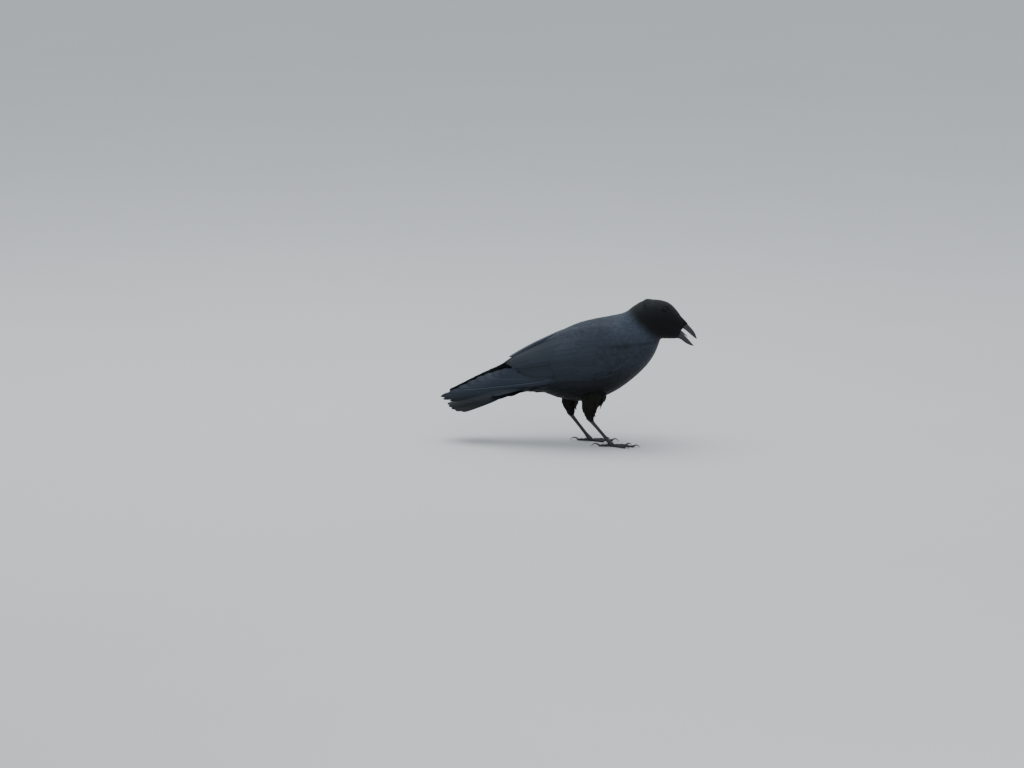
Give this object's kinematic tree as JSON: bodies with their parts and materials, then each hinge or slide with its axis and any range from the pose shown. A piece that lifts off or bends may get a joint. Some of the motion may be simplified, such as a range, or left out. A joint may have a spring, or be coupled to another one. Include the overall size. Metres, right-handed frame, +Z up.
{
  "type": "crow",
  "caption": "Life-size standing crow, a still museum-type model: black plumage, folded wings, closed drooping tail, open bill, walking stance.",
  "frame": {"origin": "middle of the bird's length and width, on the ground it stands on", "axes": "+X towards the bill, the bird's right side towards -Y, +Z up"},
  "size_m": [0.397, 0.1228, 0.2268],
  "materials": {
    "plumage": "soft black feathers with a faint slate-blue sheen",
    "flight_feathers": "smooth black vanes with a blue-grey gloss",
    "bill_horn": "satin black horn",
    "mouth": "moist dull flesh",
    "eye": "clear gloss over very dark brown",
    "leg_scale": "black scaled skin",
    "claw_horn": "satin black horn"
  },
  "bodies": {
    "root": {"head": "plumage", "neck": "plumage", "trunk": "plumage", "thigh_left": "plumage", "thigh_right": "plumage", "wing_coverts_left": "plumage", "wing_coverts_right": "plumage", "wing_secondaries_left": "flight_feathers", "wing_secondaries_right": "flight_feathers", "wing_primaries_left": "flight_feathers", "wing_primaries_right": "flight_feathers", "tail": "flight_feathers", "bill_upper": "bill_horn", "bill_lower": "bill_horn", "tongue": "mouth", "eye_left": "eye", "eye_right": "eye", "shank_left": "leg_scale", "shank_right": "leg_scale", "toe_middle_left": "leg_scale", "toe_inner_left": "leg_scale", "toe_outer_left": "leg_scale", "toe_hallux_left": "leg_scale", "toe_middle_right": "leg_scale", "toe_inner_right": "leg_scale", "toe_outer_right": "leg_scale", "toe_hallux_right": "leg_scale", "claw_middle_left": "claw_horn", "claw_inner_left": "claw_horn", "claw_outer_left": "claw_horn", "claw_hallux_left": "claw_horn", "claw_middle_right": "claw_horn", "claw_inner_right": "claw_horn", "claw_outer_right": "claw_horn", "claw_hallux_right": "claw_horn"}
  },
  "joints": []
}
